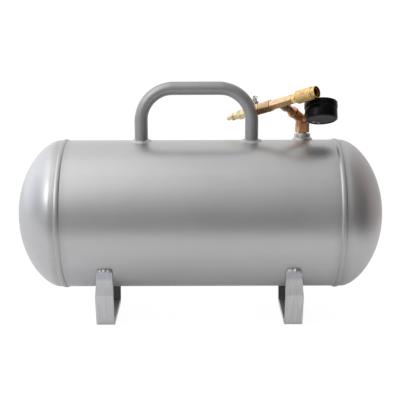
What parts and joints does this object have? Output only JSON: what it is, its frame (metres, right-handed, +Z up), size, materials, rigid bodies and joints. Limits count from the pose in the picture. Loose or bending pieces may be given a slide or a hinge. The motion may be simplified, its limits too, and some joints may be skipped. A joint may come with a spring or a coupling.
{
  "type": "air receiver tank",
  "caption": "Portable horizontal air receiver tank with a carry handle, strap feet, a pressure gauge, a safety valve and a push-to-connect air coupler.",
  "frame": {"origin": "on the floor, under the middle of the tank", "axes": "+X along the tank towards its fittings, +Y from front to back, +Z up"},
  "size_m": [0.5638, 0.2322, 0.3722],
  "materials": {
    "aluminium_body": "satin, lightly brushed",
    "weld_bead": "as welded",
    "handle_tube": "satin grey",
    "brass_fitting": "machined",
    "copper_brass": "cast, darkened",
    "inner_brass": "machined",
    "spring_steel": "bright",
    "seal_rubber": "matt",
    "gauge_black": "satin black",
    "lens": "clear",
    "dial_white": "matt white",
    "pointer_black": "matt black"
  },
  "bodies": {
    "tank": {"arm_nipple": "brass_fitting", "boss_welds": "weld_bead", "bourdon_tube": "inner_brass", "carry_handle": "handle_tube", "check_body": "brass_fitting", "check_spring": "spring_steel", "coupler_body": "brass_fitting", "coupler_seal": "seal_rubber", "drain_boss": "aluminium_body", "drain_plug": "brass_fitting", "foot_welds": "weld_bead", "gauge_bezel": "gauge_black", "gauge_case": "gauge_black", "gauge_dial": "dial_white", "gauge_lens": "lens", "gauge_socket": "brass_fitting", "girth_welds": "weld_bead", "handle_welds": "weld_bead", "left_foot": "aluminium_body", "left_head": "aluminium_body", "lock_nut": "brass_fitting", "long_seam_weld": "weld_bead", "male_plug": "brass_fitting", "manifold_bar": "brass_fitting", "movement_plates": "inner_brass", "outlet_boss": "aluminium_body", "outlet_elbow": "copper_brass", "poppet_spring": "spring_steel", "retaining_ring": "spring_steel", "right_foot": "aluminium_body", "right_head": "aluminium_body", "riser_nipple": "copper_brass", "safety_body": "brass_fitting", "safety_spring": "spring_steel", "safety_tee": "brass_fitting", "sleeve_spring": "spring_steel", "tank_shell": "aluminium_body"},
    "sleeve": {"coupler_sleeve": "brass_fitting"},
    "coupler_valve": {"coupler_poppet": "inner_brass"},
    "check_valve": {"check_poppet": "inner_brass"},
    "relief_stem": {"safety_stem": "inner_brass"},
    "relief_ring": {"pull_ring": "spring_steel"},
    "pointer": {"gauge_pointer": "pointer_black", "pinion_arbor": "inner_brass"},
    "sector": {"sector_gear": "inner_brass"},
    "ball_1": {"locking_ball_1": "spring_steel"},
    "ball_2": {"locking_ball_2": "spring_steel"},
    "ball_3": {"locking_ball_3": "spring_steel"},
    "ball_4": {"locking_ball_4": "spring_steel"}
  },
  "joints": [
    {"name": "sleeve_slide", "type": "slide", "parent": "tank", "child": "sleeve", "axis": [-0.7394, 0.5982, -0.3087], "range_m": [0, 0.0035], "stiffness_N_per_m": 1800, "springref_m": -0.004, "deforming": ["sleeve_spring"]},
    {"name": "coupler_valve_slide", "type": "slide", "parent": "tank", "child": "coupler_valve", "axis": [-0.7394, 0.5982, -0.3087], "range_m": [0, 0.0055], "stiffness_N_per_m": 900, "springref_m": -0.004, "deforming": ["poppet_spring"]},
    {"name": "check_valve_slide", "type": "slide", "parent": "tank", "child": "check_valve", "axis": [0.7394, -0.5982, 0.3087], "range_m": [0, 0.0025], "stiffness_N_per_m": 200, "springref_m": -0.002, "deforming": ["check_spring"]},
    {"name": "relief_lift", "type": "slide", "parent": "tank", "child": "relief_stem", "axis": [-0.2618, 0.1669, 0.9506], "range_m": [0, 0.0015], "stiffness_N_per_m": 400, "springref_m": -0.003, "deforming": ["safety_spring"]},
    {"name": "relief_ring_swing", "type": "hinge", "parent": "relief_stem", "child": "relief_ring", "pos_m": [0.08318, 0.02121, 0.34681], "axis": [-0.7394, 0.5982, -0.3087], "range_deg": [-224, 0]},
    {"name": "sector_turn", "type": "hinge", "parent": "tank", "child": "sector", "pos_m": [0.19135, -0.03079, 0.33567], "axis": [-0.0047, 0.4375, 0.8992], "range_deg": [0, 30]},
    {"name": "pointer_turn", "type": "hinge", "parent": "tank", "child": "pointer", "pos_m": [0.1826, -0.01667, 0.32875], "axis": [-0.0047, 0.4375, 0.8992], "range_deg": [-270, 0]},
    {"name": "ball_1_slide", "type": "slide", "parent": "tank", "child": "ball_1", "axis": [0.5748, 0.7998, 0.1731], "range_m": [0, 0.0007]},
    {"name": "ball_2_slide", "type": "slide", "parent": "tank", "child": "ball_2", "axis": [-0.3505, 0.0494, 0.9353], "range_m": [0, 0.0007]},
    {"name": "ball_3_slide", "type": "slide", "parent": "tank", "child": "ball_3", "axis": [-0.5748, -0.7998, -0.1731], "range_m": [0, 0.0007]},
    {"name": "ball_4_slide", "type": "slide", "parent": "tank", "child": "ball_4", "axis": [0.3505, -0.0494, -0.9353], "range_m": [0, 0.0007]}
  ],
  "couplings": [
    {"joint": "ball_1_slide", "follows": "sleeve_slide", "ratio": 0.2},
    {"joint": "ball_2_slide", "follows": "sleeve_slide", "ratio": 0.2},
    {"joint": "ball_3_slide", "follows": "sleeve_slide", "ratio": 0.2},
    {"joint": "ball_4_slide", "follows": "sleeve_slide", "ratio": 0.2},
    {"joint": "pointer_turn", "follows": "sector_turn", "ratio": -9}
  ]
}
